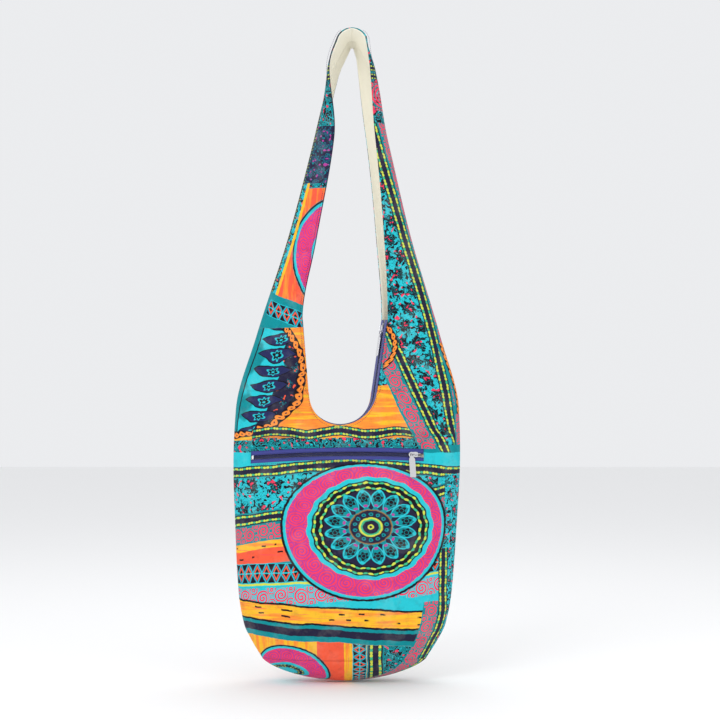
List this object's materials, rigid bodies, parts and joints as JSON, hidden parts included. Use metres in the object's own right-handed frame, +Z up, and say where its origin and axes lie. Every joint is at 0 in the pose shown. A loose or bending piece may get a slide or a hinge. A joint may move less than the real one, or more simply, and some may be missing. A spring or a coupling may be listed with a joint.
{
  "type": "crossbody bag",
  "caption": "Slouchy crossbody sling bag in printed cotton, its two tapering arms joined into one broad strap, with a U-shaped zipped mouth and a zipped front pocket.",
  "frame": {"origin": "hang point, under the middle of the strap's top fold", "axes": "+X to the right as seen from the front, +Y to the back, +Z up; the front with its pocket zip faces -Y"},
  "size_m": [0.3401, 0.1158, 0.9741],
  "materials": {
    "front_print": "printed cotton",
    "back_print": "printed cotton",
    "base_print": "printed cotton",
    "lining": "plain cotton",
    "pouch_cotton": "plain cotton",
    "zip_tape": "woven tape",
    "zip_teeth": "moulded",
    "bright_metal": "bright plated"
  },
  "bodies": {
    "bag": {"front_panel": "front_print", "back_panel": "back_print", "base_panel": "base_print", "front_lining": "lining", "back_lining": "lining", "base_lining": "lining", "pocket_pouch_front": "pouch_cotton", "pocket_pouch_back": "pouch_cotton", "pocket_tape_upper": "zip_tape", "pocket_tape_lower": "zip_tape", "main_tape_front": "zip_tape", "main_tape_back": "zip_tape", "pocket_teeth_upper": "zip_teeth", "pocket_teeth_lower": "zip_teeth", "main_teeth_front": "zip_teeth", "main_teeth_back": "zip_teeth", "pocket_bottom_stop": "bright_metal", "pocket_top_stop_upper": "bright_metal", "pocket_top_stop_lower": "bright_metal", "main_bottom_stop": "bright_metal", "main_top_stop_front": "bright_metal", "main_top_stop_back": "bright_metal"},
    "pocket_slider": {"pocket_slider": "bright_metal"},
    "pocket_puller": {"pocket_puller": "bright_metal"},
    "main_slider": {"main_slider": "bright_metal"},
    "main_puller": {"main_puller": "bright_metal"}
  },
  "joints": [
    {"name": "pocket_zip", "type": "hinge", "parent": "bag", "child": "pocket_slider", "pos_m": [0.005, 0.68203, -0.9697], "axis": [0, -0.4384, -0.8988], "range_deg": [0, 16.6], "deforming": ["pocket_teeth_upper", "pocket_teeth_lower"]},
    {"name": "pocket_puller_swing", "type": "hinge", "parent": "pocket_slider", "child": "pocket_puller", "pos_m": [0.08854, -0.03651, -0.61924], "axis": [0.1095, -0.8934, 0.4357], "range_deg": [-85, 40]},
    {"name": "main_zip", "type": "slide", "parent": "bag", "child": "main_slider", "axis": [-0.1392, 0, -0.9903], "range_m": [0, 0.06], "deforming": ["main_teeth_front", "main_teeth_back"]},
    {"name": "main_puller_swing", "type": "hinge", "parent": "main_slider", "child": "main_puller", "pos_m": [0.04254, -0.00098, -0.43528], "axis": [-0.2558, 0.9661, 0.0359], "range_deg": [0, 90]}
  ]
}
